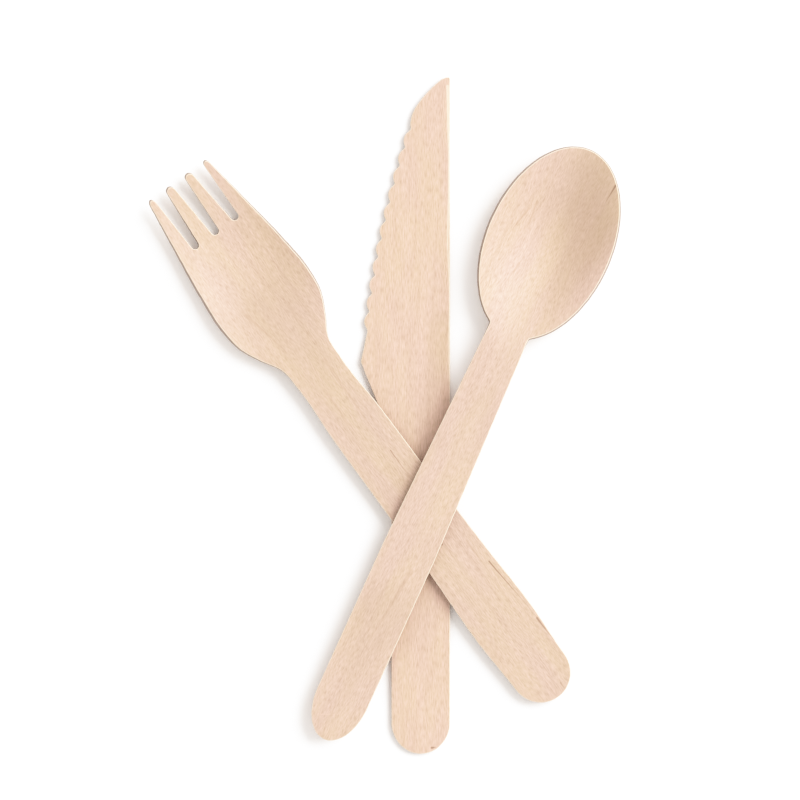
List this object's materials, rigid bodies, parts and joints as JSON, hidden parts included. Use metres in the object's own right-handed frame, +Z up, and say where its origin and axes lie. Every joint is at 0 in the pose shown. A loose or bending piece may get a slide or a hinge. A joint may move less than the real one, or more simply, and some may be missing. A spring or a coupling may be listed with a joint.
{
  "type": "wooden cutlery set",
  "caption": "Knife, fork and spoon of birch veneer, single-use, lying crossed as a set on a table.",
  "frame": {"origin": "on the table, under the middle of the set's bounding box", "axes": "+Y the way the knife points, +Z up from the table, +X to the right with the knife pointing away"},
  "size_m": [0.115, 0.1652, 0.0073],
  "materials": {
    "birch_knife": "sanded, unfinished",
    "birch_fork": "sanded, unfinished",
    "birch_spoon": "sanded, unfinished"
  },
  "bodies": {
    "root": {"knife": "birch_knife", "fork": "birch_fork", "spoon": "birch_spoon"}
  },
  "joints": []
}
